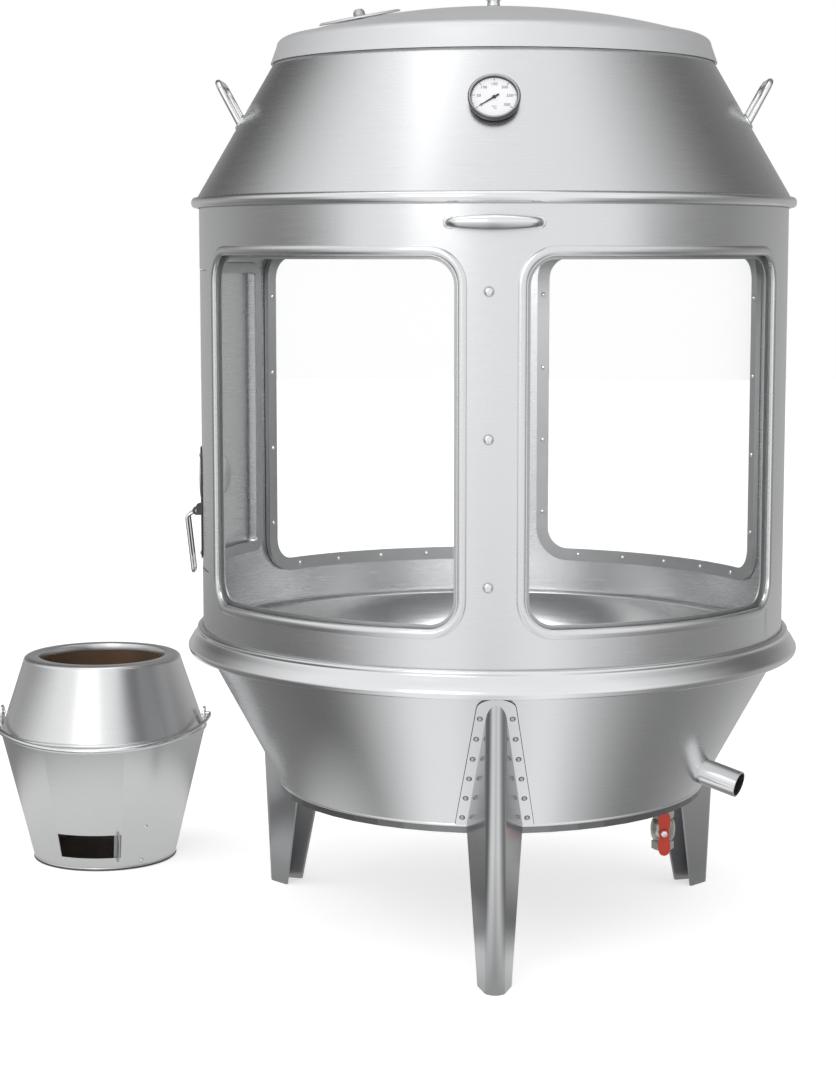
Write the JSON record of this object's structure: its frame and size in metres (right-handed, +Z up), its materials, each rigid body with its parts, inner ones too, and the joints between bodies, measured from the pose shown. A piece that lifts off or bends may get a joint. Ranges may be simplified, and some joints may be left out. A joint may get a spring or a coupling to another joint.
{
  "type": "duck roasting oven",
  "caption": "Steel drum roasting oven with curved windows, cone hood, domed lid and channel legs, with a lift-out drip pan, a drain valve and a separate charcoal fire pot.",
  "frame": {"origin": "on the floor, under the middle of the whole object's box", "axes": "+Z up, front of the oven towards -Y, fire pot at the left towards -X"},
  "size_m": [1.2772, 0.9718, 1.3823],
  "materials": {
    "brushed_steel": "fine brushed stainless sheet, brushed round the drum",
    "polished_steel": "polished stainless rod, tube and rolled edge",
    "dull_steel": "plain mill-finish stainless",
    "dark_steel": "dark grey satin coat on steel",
    "clear_glass": "clear toughened glass with a faint green edge",
    "dial_white": "matt white printed dial",
    "needle_black": "black pointer",
    "lever_red": "red coated pressed steel",
    "valve_metal": "nickel-plated brass",
    "fire_clay": "rough brown fire clay",
    "grate_iron": "cast iron as cast"
  },
  "bodies": {
    "oven": {"body_shell": "brushed_steel", "top_ring": "polished_steel", "base_ring": "polished_steel", "window_glass_front_left": "clear_glass", "window_glass_front_right": "clear_glass", "window_glass_rear_right": "clear_glass", "window_glass_rear_left": "clear_glass", "window_frame_front_left": "dull_steel", "window_frame_front_right": "dull_steel", "window_frame_rear_right": "dull_steel", "window_frame_rear_left": "dull_steel", "door_frame": "dull_steel", "door_hinge_upper": "polished_steel", "door_hinge_lower": "polished_steel", "front_handle": "polished_steel", "bowl": "brushed_steel", "bowl_floor": "brushed_steel", "oil_pipe": "polished_steel", "valve_nipple": "valve_metal", "valve_body": "valve_metal", "leg_front": "brushed_steel", "leg_rear_right": "brushed_steel", "leg_rear_left": "brushed_steel", "hanger_bridge": "dull_steel"},
    "door": {"side_door": "brushed_steel", "door_pull": "dark_steel", "door_strap_upper": "polished_steel", "door_strap_lower": "polished_steel"},
    "door_drop": {"door_drop_handle": "polished_steel"},
    "pan": {"drip_pan": "brushed_steel", "pan_gutter": "brushed_steel", "pan_upstand": "brushed_steel"},
    "valve": {"valve_ball": "polished_steel", "valve_lever": "lever_red"},
    "rotor": {"hanger_shaft": "polished_steel", "hanging_ring": "polished_steel"},
    "hood": {"hood": "brushed_steel", "hood_handle_left": "polished_steel", "hood_handle_right": "polished_steel", "thermometer_case": "dark_steel", "thermometer_dial": "dial_white", "thermometer_lens": "clear_glass", "thermometer_probe": "polished_steel"},
    "needle": {"thermometer_needle": "needle_black"},
    "lid": {"dome_lid": "brushed_steel", "lid_rim": "brushed_steel", "lid_knob": "polished_steel"},
    "vent": {"vent_cover": "brushed_steel", "vent_knob": "dark_steel"},
    "fire_pot": {"pot_bucket": "brushed_steel", "pot_cover": "brushed_steel", "pot_liner": "fire_clay", "pot_grate": "grate_iron", "pot_ear_left": "polished_steel", "pot_ear_right": "polished_steel"},
    "damper": {"pot_damper": "dull_steel"},
    "bail": {"pot_bail": "polished_steel"}
  },
  "joints": [
    {"name": "hood_lift", "type": "slide", "parent": "oven", "child": "hood", "axis": [0, 0, 1], "range_m": [0, 0.3]},
    {"name": "lid_lift", "type": "slide", "parent": "hood", "child": "lid", "axis": [0, 0, 1], "range_m": [0, 0.15]},
    {"name": "vent_turn", "type": "hinge", "parent": "lid", "child": "vent", "pos_m": [-0.00274, -0.12276, 1.32796], "axis": [-0.1781, -0.0947, 0.9794], "range_deg": [0, 45]},
    {"name": "needle_turn", "type": "hinge", "parent": "hood", "child": "needle", "pos_m": [0.18748, -0.38484, 1.197], "axis": [-0.003, 0.8631, -0.5049], "range_deg": [0, 250]},
    {"name": "rotor_turn", "type": "hinge", "parent": "oven", "child": "rotor", "pos_m": [0.18622, -0.02229, 1.024], "axis": [0, 0, 1], "continuous": true},
    {"name": "pan_lift", "type": "slide", "parent": "oven", "child": "pan", "axis": [0, 0, 1], "range_m": [0, 0.12]},
    {"name": "door_swing", "type": "hinge", "parent": "oven", "child": "door", "pos_m": [-0.19444, 0.19234, 0.7575], "axis": [0, 0, -1], "range_deg": [0, 110]},
    {"name": "drop_swing", "type": "hinge", "parent": "door", "child": "door_drop", "pos_m": [-0.25172, -0.02994, 0.619], "axis": [-0.0175, 0.9998, 0], "range_deg": [0, 90]},
    {"name": "valve_turn", "type": "hinge", "parent": "oven", "child": "valve", "pos_m": [0.44824, -0.00229, 0.129], "axis": [0, -1, 0], "range_deg": [0, 90]},
    {"name": "pot_lift", "type": "slide", "parent": "oven", "child": "fire_pot", "axis": [0, 0, 1], "range_m": [0, 0.15]},
    {"name": "damper_slide_round", "type": "hinge", "parent": "fire_pot", "child": "damper", "pos_m": [-0.4578, 0.31469, 0.043], "axis": [0, 0, -1], "range_deg": [0, 43]},
    {"name": "bail_swing", "type": "hinge", "parent": "fire_pot", "child": "bail", "pos_m": [-0.4578, 0.31469, 0.24], "axis": [-1, 0, 0], "range_deg": [0, 198]}
  ]
}
